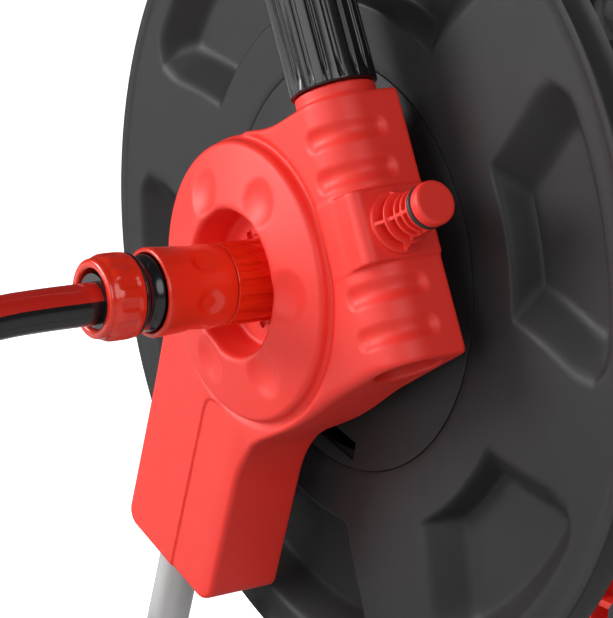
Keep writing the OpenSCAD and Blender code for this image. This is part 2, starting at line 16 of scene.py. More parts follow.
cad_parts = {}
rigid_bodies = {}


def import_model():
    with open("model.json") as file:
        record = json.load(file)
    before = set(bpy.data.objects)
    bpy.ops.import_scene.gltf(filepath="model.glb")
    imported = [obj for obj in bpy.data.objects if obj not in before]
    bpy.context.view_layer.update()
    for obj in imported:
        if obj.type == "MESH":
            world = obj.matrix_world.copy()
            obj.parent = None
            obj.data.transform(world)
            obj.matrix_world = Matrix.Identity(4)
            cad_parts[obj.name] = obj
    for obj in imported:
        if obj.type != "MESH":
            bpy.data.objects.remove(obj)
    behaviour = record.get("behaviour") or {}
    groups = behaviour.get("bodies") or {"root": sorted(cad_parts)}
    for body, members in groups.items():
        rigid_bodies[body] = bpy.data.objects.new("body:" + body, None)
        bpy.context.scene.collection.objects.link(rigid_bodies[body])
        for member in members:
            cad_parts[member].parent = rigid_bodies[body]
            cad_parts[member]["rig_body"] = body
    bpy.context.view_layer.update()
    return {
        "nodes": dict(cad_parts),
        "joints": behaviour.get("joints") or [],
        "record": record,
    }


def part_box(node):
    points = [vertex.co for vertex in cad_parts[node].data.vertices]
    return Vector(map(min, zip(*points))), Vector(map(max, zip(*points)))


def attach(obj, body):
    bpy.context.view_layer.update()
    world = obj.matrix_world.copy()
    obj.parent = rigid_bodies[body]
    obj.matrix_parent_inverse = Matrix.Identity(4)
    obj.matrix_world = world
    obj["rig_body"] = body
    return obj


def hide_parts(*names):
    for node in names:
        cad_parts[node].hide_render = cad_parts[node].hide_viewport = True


MM = 0.001
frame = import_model()

# ---------------------------------------------------------------- places taken from the frame
SIDE_X = 0.180  # from the middle of the drum to the hub ring's front edge
JOINTS = {joint["name"]: joint for joint in frame["joints"]}
MIDDLE = Vector(JOINTS["drum_spin"]["pos_m"])
INLET, CRANK = -1, 1
HANDLE_TILT = math.radians(26)
LEG_TILT = math.radians(20)


def side_matrix(side):
    """From a bracket's own frame, in millimetres, to the row frame."""
    return Matrix.Translation(MIDDLE + Vector((side * SIDE_X, 0, 0))) @ Matrix(
        ((0, 0, side * MM, 0), (-MM, 0, 0, 0), (0, MM, 0, 0), (0, 0, 0, 1))
    )


# ---------------------------------------------------------------- camera
CAMERA_FROM_RING = Vector((-0.5338, -0.8346, 0.2251))
CAMERA_YAW = math.radians(34.09)
CAMERA_PITCH = math.radians(13.4)
IMAGE_HEIGHT = 618
FOCAL_PIXELS = 2601
SENSOR = 36.0


def add_camera():
    data = bpy.data.cameras.new("camera")
    data.sensor_fit = "VERTICAL"
    data.sensor_height = SENSOR
    data.lens = FOCAL_PIXELS * SENSOR / IMAGE_HEIGHT
    data.clip_end = 50
    camera = bpy.data.objects.new("camera", data)
    bpy.context.scene.collection.objects.link(camera)
    forward = Vector((
        math.sin(CAMERA_YAW) * math.cos(CAMERA_PITCH),
        math.cos(CAMERA_YAW) * math.cos(CAMERA_PITCH),
        -math.sin(CAMERA_PITCH),
    ))
    camera.location = MIDDLE + Vector((-SIDE_X, 0, 0)) + CAMERA_FROM_RING
    camera.rotation_euler = forward.to_track_quat("-Z", "Y").to_euler()
    bpy.context.scene.camera = camera


add_camera()


# ---------------------------------------------------------------- materials
class Nodes:
    """A short way to write a material's node tree."""

    def __init__(self, name):
        self.material = bpy.data.materials.new(name)
        self.material.use_nodes = True
        self.tree = self.material.node_tree
        self.shader = self.tree.nodes["Principled BSDF"]
        self.place = self.tree.nodes.new("ShaderNodeTexCoord").outputs["Object"]

    def add(self, kind, inputs=None, **settings):
        node = self.tree.nodes.new(kind)
        for key, value in settings.items():
            setattr(node, key, value)
        for key, value in (inputs or {}).items():
            if isinstance(value, bpy.types.NodeSocket):
                self.tree.links.new(value, node.inputs[key])
            else:
                node.inputs[key].default_value = value
        return node

    def noise(self, scale, detail=2.0, rough=0.5, stretch=(1, 1, 1)):
        place = self.add("ShaderNodeMapping", {"Vector": self.place, "Scale": stretch})
        return self.add("ShaderNodeTexNoise", {
            "Vector": place.outputs[0], "Scale": scale, "Detail": detail, "Roughness": rough,
        }).outputs["Fac"]

    def spread(self, value, low, high):
        """value, which runs from about 0.3 to 0.7, mapped onto low to high."""
        return self.add("ShaderNodeMapRange", {
            "Value": value, "From Min": 0.3, "From Max": 0.7, "To Min": low, "To Max": high,
        }).outputs[0]

    def colours(self, value, low, high):
        ramp = self.add("ShaderNodeMix", {"Factor": value}, data_type="RGBA")
        ramp.inputs["A"].default_value = (*low, 1)
        ramp.inputs["B"].default_value = (*high, 1)
        return ramp.outputs["Result"]

    def bump(self, height, strength, distance, normal=None):
        inputs = {"Height": height, "Strength": strength, "Distance": distance}
        if normal is not None:
            inputs["Normal"] = normal
        return self.add("ShaderNodeBump", inputs).outputs[0]

    def link(self, value, socket):
        self.tree.links.new(value, self.shader.inputs[socket])

    def set(self, **values):
        for key, value in values.items():
            self.shader.inputs[key.replace("_", " ")].default_value = value


def moulded(name, colour, rough, grain, grain_scale=2600, shade=0.06, coat=0.0, specular=0.5):
    """Injection-moulded plastic: a fine spark texture, and slow drifts of colour and gloss."""
    m = Nodes(name)
    drift = m.spread(m.noise(9, 3), 0, 1)
    low = [c * (1 - shade) for c in colour]
    high = [min(1, c * (1 + shade)) for c in colour]
    m.link(m.colours(drift, low, high), "Base Color")
    m.link(m.spread(m.noise(40, 4), rough - 0.05, rough + 0.05), "Roughness")
    fine = m.noise(grain_scale, 2)
    wave = m.noise(60, 2)
    m.link(m.bump(fine, grain, 0.00015, m.bump(wave, 0.06, 0.0006)), "Normal")
    m.set(Coat_Weight=coat, Coat_Roughness=0.12, Specular_IOR_Level=specular)
    return m.material


def coated_tube(name):
    """Light grey powder coat: a faint orange peel."""
    m = Nodes(name)
    m.link(m.colours(m.spread(m.noise(14, 3), 0, 1), (0.56, 0.57, 0.57), (0.64, 0.65, 0.65)), "Base Color")
    m.link(m.spread(m.noise(120, 3), 0.30, 0.42), "Roughness")
    m.link(m.bump(m.noise(1400, 2), 0.25, 0.0002), "Normal")
    m.set(Metallic=0.35, Coat_Weight=0.2, Coat_Roughness=0.2)
    return m.material


def zinc(name):
    """Zinc-plated steel: drawn streaks along the piece."""
    m = Nodes(name)
    m.link(m.colours(m.spread(m.noise(60, 4), 0, 1), (0.50, 0.50, 0.50), (0.66, 0.66, 0.64)), "Base Color")
    m.link(m.spread(m.noise(900, 2, stretch=(0.05, 1, 1)), 0.24, 0.40), "Roughness")
    m.link(m.bump(m.noise(1200, 2, stretch=(0.05, 1, 1)), 0.15, 0.0002), "Normal")
    m.set(Metallic=1.0)
    return m.material


def rubber(name, colour, rough, cells):
    """Rubber or foam: a pebbled skin, duller where it is rubbed."""
    m = Nodes(name)
    drift = m.spread(m.noise(22, 4), 0, 1)
    m.link(m.colours(drift, [c * 0.8 for c in colour], [c * 1.35 for c in colour]), "Base Color")
    m.link(m.spread(m.noise(90, 3), rough - 0.06, rough + 0.06), "Roughness")
    m.link(m.bump(m.noise(cells, 3), 0.5, 0.0004), "Normal")
    return m.material


RED = (0.84, 0.031, 0.020)
GLOSS_RED = (0.80, 0.026, 0.006)
M = {
    "red_plastic": moulded("coral_matte_plastic", RED, 0.50, 0.22, shade=0.03),
    "gloss_red": moulded("orange_red_gloss_plastic", GLOSS_RED, 0.24, 0.03, shade=0.04, coat=0.35),
    "black_plastic": moulded("black_satin_plastic", (0.008, 0.008, 0.010), 0.20, 0.03, coat=0.3),
    "drum_plastic": moulded("charcoal_matte_plastic", (0.019, 0.019, 0.020), 0.50, 0.35, 2200, specular=0.3),
    "white_plastic": moulded("ivory_nylon", (0.60, 0.58, 0.52), 0.42, 0.10),
    "grey_tube": coated_tube("light_grey_powder_coat"),
    "steel": zinc("zinc_plated_steel"),
    "foam": rubber("black_foam", (0.018, 0.018, 0.020), 0.75, 900),
    "seal_rubber": rubber("seal_rubber", (0.022, 0.018, 0.018), 0.45, 1500),
    "tyre_rubber": rubber("tyre_rubber", (0.026, 0.026, 0.028), 0.62, 500),
    "hose_vinyl": moulded("black_hose_vinyl", (0.010, 0.010, 0.012), 0.20, 0.05, coat=0.25),
    "hose_stripe": moulded("red_hose_stripe", (0.62, 0.018, 0.010), 0.24, 0.05, coat=0.2),
}
SLOT_OF = {row["node"]: row["material_slot"] for row in frame["record"]["subparts"]}


# ---------------------------------------------------------------- mesh helpers
def make_piece(name, points, faces, slot, body, replaces=(), matrix=None, smooth=True, materials=None):
    """One finished piece from points in millimetres (or in metres with no matrix)."""
    mesh = bpy.data.meshes.new(name)
    mesh.from_pydata([tuple(p) for p in points], [], [tuple(f) for f in faces])
    if matrix is not None:
        mesh.transform(matrix)
        if matrix.determinant() < 0:
            mesh.flip_normals()
    for material in materials or [M[slot]]:
        mesh.materials.append(material)
    if smooth:
        mesh.shade_smooth()
    piece = bpy.data.objects.new(name, mesh)
    bpy.context.scene.collection.objects.link(piece)
    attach(piece, body)
    if replaces:
        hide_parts(*replaces)
    return piece


def ring_faces(rows, columns, closed_rows=False):
    """Quads of a grid whose columns run right round."""
    last = rows if closed_rows else rows - 1
    row, column = np.meshgrid(np.arange(last), np.arange(columns), indexing="ij")
    below, beside = (row + 1) % rows, (column + 1) % columns
    quads = np.stack([
        row * columns + column, row * columns + beside,
        below * columns + beside, below * columns + column,
    ], axis=-1)
    return quads.reshape(-1, 4)


def rounded_profile(corners, steps=4):
    """A closed outline of (radius, along, corner radius) with each corner rounded."""
    out = []
    count = len(corners)
    for i, (r, h, fillet) in enumerate(corners):
        here = np.array([r, h], float)
        before = np.array(corners[i - 1][:2], float) - here
        after = np.array(corners[(i + 1) % count][:2], float) - here
        reach = min(fillet, 0.48 * np.linalg.norm(before), 0.48 * np.linalg.norm(after))
        if reach < 1e-6:
            out.append(here)
            continue
        start = here + before / np.linalg.norm(before) * reach
        end = here + after / np.linalg.norm(after) * reach
        for t in np.linspace(0, 1, steps + 1):
            out.append((1 - t) ** 2 * start + 2 * t * (1 - t) * here + t ** 2 * end)
    return np.array(out)


def divided(outline, longest):
    """The outline with its long sides cut, so that a shape on them is carried by real points."""
    out = []
    for here, there in zip(outline, np.roll(outline, -1, axis=0)):
        parts = max(1, int(np.ceil(np.linalg.norm(there - here) / longest)))
        out += [here + (there - here) * k / parts for k in range(parts)]
    return np.array(out)


def turned(corners, segments, change=None, longest=1e9, steps=4):
    """A closed ring turned from an outline. change(radius, along, angle) gives new radii."""
    outline = divided(rounded_profile(corners, steps), longest)
    angle = np.linspace(0, 2 * np.pi, segments, endpoint=False)
    radius = np.repeat(outline[:, :1], segments, axis=1)
    along = np.repeat(outline[:, 1:], segments, axis=1)
    turn = np.broadcast_to(angle, radius.shape)
    if change is not None:
        radius = change(radius, along, turn)
    points = np.stack([radius * np.cos(turn), radius * np.sin(turn), along], axis=-1)
    return points.reshape(-1, 3), ring_faces(len(outline), segments, closed_rows=True)


# ---------------------------------------------------------------- shapes from distance fields
def smooth_max(a, b, k):
    h = np.clip(0.5 + 0.5 * (a - b) / k, 0, 1)
    return b + (a - b) * h + k * h * (1 - h)


def smooth_min(a, b, k):
    return -smooth_max(-a, -b, k)


def ramp(x, low, high):
    t = np.clip((x - low) / (high - low), 0, 1)
    return t * t * (3 - 2 * t)


def rounded_box(p, q, half_p, half_q, corner):
    dp, dq = np.abs(p) - half_p + corner, np.abs(q) - half_q + corner
    return np.hypot(np.maximum(dp, 0), np.maximum(dq, 0)) + np.minimum(np.maximum(dp, dq), 0) - corner


CELL_EDGES = [(axis, a, b) for axis in range(3) for a in (0, 1) for b in (0, 1)]


def surface_of(field, low, high, step):
    """A smooth quad mesh where field(x, y, z) is zero, by the surface-nets method, with its
    points then moved onto the surface, and the field's own normals."""
    axes = [np.arange(a, b + step, step) for a, b in zip(low, high)]
    grid = np.meshgrid(*axes, indexing="ij")
    value = field(*grid)
    inside = value < 0
    cells = tuple(n - 1 for n in value.shape)
    total = np.zeros((*cells, 3))
    count = np.zeros(cells)
    for axis, a, b in CELL_EDGES:
        others = [k for k in range(3) if k != axis]
        near, far, offset = [slice(None)] * 3, [slice(None)] * 3, [0, 0, 0]
        near[axis], far[axis] = slice(0, -1), slice(1, None)
        for k, o in zip(others, (a, b)):
            near[k] = far[k] = slice(o, value.shape[k] - 1 + o)
            offset[k] = o
        v0, v1 = value[tuple(near)], value[tuple(far)]
        crosses = (v0 < 0) != (v1 < 0)
        t = np.where(crosses, v0 / np.where(crosses, v0 - v1, 1), 0)
        for k in range(3):
            total[..., k] += np.where(crosses, t if k == axis else offset[k], 0)
        count += crosses
    used = count > 0
    index = np.full(cells, -1)
    index[used] = np.arange(used.sum())
    points = total[used] / count[used][:, None] + np.argwhere(used)
    points = points * step + np.array([axis[0] for axis in axes])
    faces = []
    for axis in range(3):
        p, q = (axis + 1) % 3, (axis + 2) % 3
        inner = [slice(1, -1)] * 3
        inner[axis] = slice(0, -1)
        ahead = list(inner)
        ahead[axis] = slice(1, None)
        here, there = inside[tuple(inner)], inside[tuple(ahead)]
        for flip, mask in ((False, here & ~there), (True, ~here & there)):
            at = np.argwhere(mask)
            at[:, p] += 1
            at[:, q] += 1
            corners = []
            for dp, dq in ((-1, -1), (0, -1), (0, 0), (-1, 0)):
                cell = at.copy()
                cell[:, p] += dp
                cell[:, q] += dq
                corners.append(index[tuple(cell.T)])
            quad = np.stack(corners[::-1] if flip else corners, axis=-1)
            faces.append(quad[(quad >= 0).all(axis=1)])
    faces = np.concatenate(faces)

    def slope(at, reach=0.15):
        parts = []
        for k in range(3):
            shift = np.zeros(3)
            shift[k] = reach
            parts.append((field(*(at + shift).T) - field(*(at - shift).T)) / (2 * reach))
        return np.stack(parts, axis=-1)

    for _ in range(3):
        gradient = slope(points)
        size = np.maximum((gradient ** 2).sum(1), 0.05)
        move = -field(*points.T)[:, None] * gradient / size[:, None]
        points = points + np.clip(move, -0.5 * step, 0.5 * step)
    normals = slope(points)
    normals /= np.maximum(np.linalg.norm(normals, axis=1), 1e-9)[:, None]
    return points, faces, normals


def field_piece(name, shape, slot, body, replaces, matrix):
    """A piece from surface_of's result, shaded with the field's normals."""
    points, faces, normals = shape
    piece = make_piece(name, points, faces, slot, body, replaces, matrix)
    turn = np.array(matrix.to_3x3()) / MM
    rows = normals @ turn.T
    piece.data.normals_split_custom_set_from_vertices([tuple(n) for n in rows])
    return piece


# ---------------------------------------------------------------- the supply hose
HOSE_R = 8.2
COIL_MIDDLE = (-455, 80)
COIL_IN_R, COIL_OUT_R, COIL_TURNS = 80, 120, 2.25
LEAD_ROUTE = [
    (-236, 0, 340), (-252, 0, 340.1), (-268, 0, 340.3), (-284, 0, 340), (-300, 0, 338.2),
    (-316, 0, 333.8), (-331.6, 0, 326.4), (-345, 0, 315.6), (-356, 0, 301.4), (-364.6, 0, 284.6),
    (-370.4, 0, 266), (-374, 0, 246.4), (-376, 0, 226), (-377, 0, 205),
    (-377.8, 0, 183), (-379, 0, 161.6), (-380.6, 0, 141), (-383, 0, 121.2),
    (-386.8, 0, 101.8), (-392.4, 0, 83.2), (-400.2, 0, 66), (-410.2, 0, 50.4), (-422, 0, 37),
    (-436, 0, 24.5),
]
TAIL_ROUTE = [
    (-575, 96, 8.4), (-575, 112, 9.4), (-575, 128, 11.2),
    (-575, 144, 13.6), (-575, 160, 15.8), (-575, 174, 17), (-575, 188, 17.4),
]


def coil_route(points_a_turn=24):
    count = int(points_a_turn * COIL_TURNS)
    out = []
    for i in range(count + 1):
        share = i / count
        angle = math.radians(-90 - 360 * COIL_TURNS * share)
        radius = COIL_IN_R + (COIL_OUT_R - COIL_IN_R) * share
        lift = 6.3 * max(0, 1 - 9 * share) ** 2
        out.append((
            COIL_MIDDLE[0] + radius * math.cos(angle),
            COIL_MIDDLE[1] + radius * math.sin(angle),
            HOSE_R + lift,
        ))
    return out


def curve_through(route, spacing):
    """Points at even spacing along a smooth curve through the route."""
    p = np.array(route, float)
    padded = np.concatenate([[2 * p[0] - p[1]], p, [2 * p[-1] - p[-2]]])
    out = []
    for i in range(len(p) - 1):
        a, b, c, d = padded[i:i + 4]
        for t in np.linspace(0, 1, 16, endpoint=False):
            out.append(0.5 * (2 * b + (c - a) * t + (2 * a - 5 * b + 4 * c - d) * t * t
                              + (3 * b - a - 3 * c + d) * t ** 3))
    out.append(p[-1])
    out = np.array(out)
    walked = np.concatenate([[0], np.cumsum(np.linalg.norm(np.diff(out, axis=0), axis=1))])
    marks = np.linspace(0, walked[-1], int(walked[-1] / spacing) + 1)
    return np.stack([np.interp(marks, walked, out[:, k]) for k in range(3)], axis=-1), walked[-1]


STRIPE_LOW, STRIPE_HIGH = math.radians(22), math.radians(104)


def supply_hose():
    """The hose as one tube, with a red stripe along its upper front."""
    route = LEAD_ROUTE + coil_route() + TAIL_ROUTE
    line, length = curve_through(route, 5.0)
    along = np.gradient(line, axis=0)
    along /= np.linalg.norm(along, axis=1)[:, None]
    sides = 40
    across = np.array([0.0, -1.0, 0.0])
    rings = []
    for point, direction in zip(line, along):
        across = across - direction * across.dot(direction)
        across /= np.linalg.norm(across)
        other = np.cross(direction, across)
        turn = np.linspace(0, 2 * np.pi, sides, endpoint=False)[:, None]
        rings.append(point + HOSE_R * (np.cos(turn) * across + np.sin(turn) * other))
    points = np.concatenate(rings)
    faces = ring_faces(len(rings), sides)
    ends = [tuple(range(sides))[::-1], tuple(range((len(rings) - 1) * sides, len(rings) * sides))]
    offset = np.array([MIDDLE.x, 0, 0])
    hose = make_piece(
        "supply_hose", points * MM + offset, [*faces, *ends], "hose_vinyl", "stand",
        ("hose_lead", "hose_coil", "hose_tail"), materials=[M["hose_vinyl"], M["hose_stripe"]],
    )
    centre = (np.arange(sides) + 0.5) * 2 * np.pi / sides
    upward = np.cross(along[0], (0, -1, 0))[2]
    striped = (centre * np.sign(upward) % (2 * np.pi) > STRIPE_LOW) & \
              (centre * np.sign(upward) % (2 * np.pi) < STRIPE_HIGH)
    for k, polygon in enumerate(hose.data.polygons):
        if k < len(faces):
            polygon.material_index = int(striped[k % sides])


# ---------------------------------------------------------------- hose connector
SLEEVE_IN, SLEEVE_OUT, SLEEVE_R = 11.1, 42.5, 17.4
RING_OUT, NUT_R, NUT_OUT, MOUTH_R = 51.7, 16.8, 67.0, 11.5
HOSE_START = 56
PLAY = math.radians(1.6)  # the connector's play on its seal, taken up by the springy hose


def press_dimples(radius, along, turn):
    """Six shallow finger dimples round the release sleeve."""
    for k in range(6):
        off = (turn - math.radians(50) - k * np.pi / 3 + np.pi) % (2 * np.pi) - np.pi
        away = np.hypot(off * SLEEVE_R, along - 24) / 6.3
        depth = 1.5 * (1 - ramp(away, 0.25, 1.05))
        radius = np.where(radius > 16.0, radius - depth, radius)
    return radius


def sleeve_shape():
    corners = [
        (13.1, SLEEVE_IN, 0.4), (SLEEVE_R - 0.9, SLEEVE_IN, 1.0), (SLEEVE_R - 0.7, 30, 6),
        (SLEEVE_R, SLEEVE_OUT - 3, 3), (SLEEVE_R, SLEEVE_OUT, 2.2), (15.4, SLEEVE_OUT, 0.8),
        (15.4, SLEEVE_IN + 4, 0.3), (13.1, SLEEVE_IN + 4, 0.3),
    ]
    return turned(corners, 144, press_dimples, longest=1.0)


def nut_shape():
    def scallops(radius, along, turn):
        fade = ramp(along, RING_OUT + 2.2, RING_OUT + 3.0) * (1 - ramp(along, 60.5, 64))
        groove = ramp(np.cos(12 * turn), -0.35, 0.5)
        return np.where(radius > 14.5, radius - 0.75 * groove * fade, radius)

    corners = [
        (12.9, RING_OUT, 0.3), (NUT_R - 0.4, RING_OUT, 0.9), (NUT_R, RING_OUT + 3, 2), (NUT_R, 61.8, 2.4),
        (15.5, NUT_OUT - 2.6, 0.6), (15.2, NUT_OUT, 1.7), (MOUTH_R + 0.1, NUT_OUT, 1.6),
        (MOUTH_R + 0.1, RING_OUT + 5.5, 0.3),
        (12.9, RING_OUT + 5.5, 0.3),
    ]
    return turned(corners, 168, scallops, longest=1.2)


def waist_ring_shape():
    low = SLEEVE_OUT + 0.2
    corners = [
        (12.9, low, 0.3), (15.0, low, 0.5), (15.0, low + 1, 0.8), (14.0, low + 3.6, 2.5),
        (14.2, RING_OUT - 2.6, 1.5), (16.3, RING_OUT - 1.4, 0.8), (16.3, RING_OUT - 0.1, 0.4),
        (12.9, RING_OUT - 0.1, 0.3),
    ]
    return turned(corners, 96)


def inlet_nut_shape():
    def knurl(radius, along, turn):
        fade = ramp(along, -12, -11) * (1 - ramp(along, 7, 10.6))
        rib = ramp(np.cos(16 * turn), -0.6, 0.3)
        return np.where(radius > 15, radius - 1.3 * (1 - rib) * fade, radius)

    corners = [
        (14.0, -12, 0.3), (16.3, -12, 0.5), (16.3, 10.8, 0.4),
        (7.2, 10.8, 0.3), (7.2, -1.6, 0.3), (14.0, -1.6, 0.3),
    ]
    return turned(corners, 320, knurl, longest=1.5)


def add_connectors():
    here = side_matrix(INLET) @ Matrix.Rotation(-PLAY, 4, "X")
    hose_end = Vector((MIDDLE.x, 0, 0)) + Vector(TAIL_ROUTE[-1]) * MM
    tap = Matrix.Translation(hose_end + Vector((0, HOSE_START * MM, 0)))
    tap = tap @ Matrix(((MM, 0, 0, 0), (0, 0, -MM, 0), (0, MM, 0, 0), (0, 0, 0, 1)))
    make_piece("sleeve", *sleeve_shape(), "gloss_red", "release_sleeve", ["connector_sleeve"], here)
    make_piece("nut", *nut_shape(), "gloss_red", "stand", ["connector_nut"], here)
    make_piece("waist_ring", *waist_ring_shape(), "black_plastic", "stand", ["connector_ring"], here)
    make_piece("swivel_nut", *inlet_nut_shape(), "gloss_red", "stand", ["inlet_nut"], here)
    tap_sleeve = make_piece(
        "tap_sleeve", *sleeve_shape(), "gloss_red", "tap_release_sleeve", ["tap_connector_sleeve"], tap)
    tap_nut = make_piece("tap_nut", *nut_shape(), "gloss_red", "stand", ["tap_connector_nut"], tap)
    return [tap_sleeve, tap_nut]


# ---------------------------------------------------------------- side brackets
TUBE_A, TUBE_N = 64.6, -20.7
TUBE_R = 9.0
FACE_N, BACK_N = -3.8, -37.6
RING_R, RING_HOLE_R, RING_TOP_N = 55.5, 28.7, 5.4
RECESS_N, HOLE_R = -10, 17.6
BODY_A, BODY_TOP, BODY_LOW = 81.0, 50.0, -60.0
NECK_R, NECK_TOP = 15.6, 54.7
SOCKET_R, SOCKET_TOP = 12.8, 40.0
LEG_C, SEAM_C = -29.1, -11.3
FACET_A, FACET_LOW, FACET_HIGH = 82.3, -16.0, 12.0
HUB_R = 57
DIMPLES, FIRST_DIMPLE = 6, 3
DIMPLE_AT_R, DIMPLE_BALL_R, DIMPLE_BALL_N = 42.3, 22, 23.1
TEETH = 12
PEG_B = -2.3
FLUTE_R, FLUTE_REACH = 4.6, 19.5
FLUTES = (35.5, 19.7, -25.5, -41.5)


def leaning(u, z, tilt):
    """Coordinates along and across a line that leans by tilt."""
    c, s = math.cos(tilt), math.sin(tilt)
    return u * c + z * s, z * c - u * s


def flute(a, b, n, at):
    """Distance from a finger flute: a round bar laid over the outer corner."""
    da, dn = a - TUBE_A, n - TUBE_N
    turn = np.clip(np.arctan2(da, dn), 0.10, np.pi / 2)
    over = np.hypot(da - FLUTE_REACH * np.sin(turn), dn - FLUTE_REACH * np.cos(turn))
    beside = np.hypot(da - FLUTE_REACH, dn - np.clip(dn, -3.5, 0))
    return np.hypot(np.minimum(over, beside), b - at) - FLUTE_R


def casing_outline(a, b, c, length, radius):
    arm = rounded_box(c + 16, length + 74, 33, 74, 7)
    head = smooth_max(b - BODY_TOP, BODY_LOW - b + 0.058 * (a + 22), 3)
    head = np.maximum(smooth_max(head, a - BODY_A - 6, 1), -20 - c)
    return smooth_min(smooth_min(radius - HUB_R, arm, 6), head, 11)


def bracket_field(u, z, n, facet):
    a, b = leaning(u, z, HANDLE_TILT)
    c, length = leaning(u, z, -LEG_TILT)
    radius = np.hypot(u, z)
    outline = casing_outline(a, b, c, length, radius)

    raised = 1 - ramp(smooth_min(c - SEAM_C, radius - 60, 9), -0.5, 0.5)
    raised = raised * (1 - ramp(c, -7, 2)) * ramp(-length, 10, 40)
    groove = np.exp(-((radius - HUB_R) / 1.5) ** 2)
    roll = ramp(c, 6, 20) ** 2 * ramp(-length, 58, 74)
    front = n - FACE_N - 0.8 * raised + 1.0 * groove + 1.5 * roll
    across, out = a - TUBE_A, (n - TUBE_N) * (BODY_A - TUBE_A) / (FACE_N - TUBE_N)
    corner = np.hypot(np.maximum(across, 0), np.maximum(out, 0)) + np.minimum(np.maximum(across, out), 0)
    front = np.maximum(front, np.where(across > 0, corner - (BODY_A - TUBE_A), -99))
    edge = 5.4 - 3.2 * ramp(b, -20, 25) - 3.2 * ramp(-length, 24, 48)
    edge = np.maximum(1.2, np.minimum(edge, 5.4 - 3.2 * ramp(across, 0, 12)))
    body = smooth_max(outline, front, edge)
    if facet:
        block = rounded_box(a - FACET_A + 14, n - FACE_N + 20, 14, 20, 4.5)
        middle, half = (FACET_HIGH + FACET_LOW) / 2, (FACET_HIGH - FACET_LOW) / 2
        body = smooth_min(body, smooth_max(block, np.abs(b - middle) - half, 1.0), 1.2)
    body = smooth_max(body, BACK_N - n, 1.2)
    inset = np.maximum(outline, a - BODY_A) + 2.4
    body = np.maximum(body, -np.maximum(inset, n - BACK_N - 1.6))

    share = np.clip((radius - RING_HOLE_R) / (RING_R - RING_HOLE_R), 0, 1.2)
    dome = n - RING_TOP_N * (1 - share ** 1.25)
    ring = np.maximum(smooth_max(radius - RING_R, dome, 2.4), -20 - n)
    body = smooth_min(body, ring, 1.2)
    for k in range(DIMPLES):
        angle = math.radians(FIRST_DIMPLE + 360 // DIMPLES * k)
        across_ball = np.hypot(u - DIMPLE_AT_R * math.cos(angle), z - DIMPLE_AT_R * math.sin(angle))
        body = smooth_max(body, DIMPLE_BALL_R - np.hypot(across_ball, n - DIMPLE_BALL_N), 0.8)
    wall = 27 + 1.9 * ramp(n, RECESS_N, RING_TOP_N)
    body = smooth_max(body, -smooth_max(radius - wall, RECESS_N - n, 2), 3.2)
    teeth = 2.0 * ramp(np.cos(TEETH * np.arctan2(z, u)), 0.2, 0.8)
    body = np.maximum(body, -np.maximum(radius - HOLE_R - teeth, -12.3 - n))
    body = np.maximum(body, 16.1 - radius)

    tube = np.hypot(across, n - TUBE_N)
    neck = smooth_max(tube - NECK_R, np.abs(b - 47) - NECK_TOP + 47, 1.2)
    thread = np.maximum(tube - 13.2, np.abs(b - 60) - 10)
    body = np.minimum(smooth_min(body, neck, 1.0), thread)
    for at in FLUTES:
        body = smooth_max(body, -flute(a, b, n, at), 1.5)
    body = smooth_max(body, -smooth_max(tube - SOCKET_R, b - SOCKET_TOP, 1), 0.9)
    body = np.maximum(body, -np.maximum(tube - TUBE_R - 0.3, -b))
    leg = np.hypot(c - LEG_C, n - TUBE_N) - TUBE_R - 0.1
    return np.maximum(body, -np.maximum(leg, length + 50))


def peg_field(up, v, w):
    """The nozzle peg, along up from its seat: discs on a core, with four fins and a plug head."""
    r = np.hypot(v, w)

    def disc(radius, low, high, edge=0.5):
        return smooth_max(r - radius, np.abs(up - (low + high) / 2) - (high - low) / 2, edge)

    shape = disc(12.2, -1.7, 1.7, 0.9)
    for radius, at in ((10.1, 5.8), (8.7, 10.6), (8.4, 14.4), (8.3, 18.0)):
        shape = smooth_min(shape, disc(radius, at, at + 1.1), 0.5)
    shape = np.minimum(shape, disc(8.4, 21.3, 26.5, 1.4))
    shape = np.minimum(shape, disc(6.6, 18, 24))
    shape = smooth_min(shape, disc(4.2, 0, 24), 0.8)
    fins = np.minimum(np.abs(v), np.abs(w)) - 0.75
    fins = np.maximum(fins, r - 11.4 + 3.2 * ramp(up, 1, 9))
    return smooth_min(shape, np.maximum(fins, np.abs(up - 9.5) - 9.5), 0.6)


def peg_matrix():
    """From the peg's own frame: up out of its seat, then along the handle tube, then outward."""
    c, s = math.cos(HANDLE_TILT), math.sin(HANDLE_TILT)
    seat = Vector((FACET_A * c - PEG_B * s, FACET_A * s + PEG_B * c, TUBE_N))
    turn = Matrix(((c, -s, 0, seat.x), (s, c, 0, seat.y), (0, 0, 1, seat.z), (0, 0, 0, 1)))
    return side_matrix(INLET) @ turn


def add_brackets():
    step = 1.0
    low, high = (-101, -150, -39.5), (100, 100, 8)
    for name, side, facet in (("left", INLET, True), ("right", CRANK, False)):
        shape = surface_of(lambda u, z, n: bracket_field(u, z, n, facet), low, high, step)
        field_piece(
            f"{name}_bracket_shell", shape, "red_plastic", "stand", [f"{name}_bracket"], side_matrix(side))
    step = 0.4
    shape = surface_of(peg_field, (-2.4, -13, -13), (27.4, 13, 13), step)
    field_piece("parking_peg", shape, "red_plastic", "stand", ["nozzle_peg"], peg_matrix())
    angle = np.linspace(0, 2 * np.pi, 16, endpoint=False)
    corners = [(7.4 + 1.15 * math.cos(t), 20.0 + 1.15 * math.sin(t), 0.3) for t in angle]
    along_up = peg_matrix() @ Matrix(((0, 0, 1, 0), (1, 0, 0, 0), (0, 1, 0, 0), (0, 0, 0, 1)))
    make_piece("peg_o_ring", *turned(corners, 64, steps=1), "seal_rubber", "stand", ["peg_seal"], along_up)


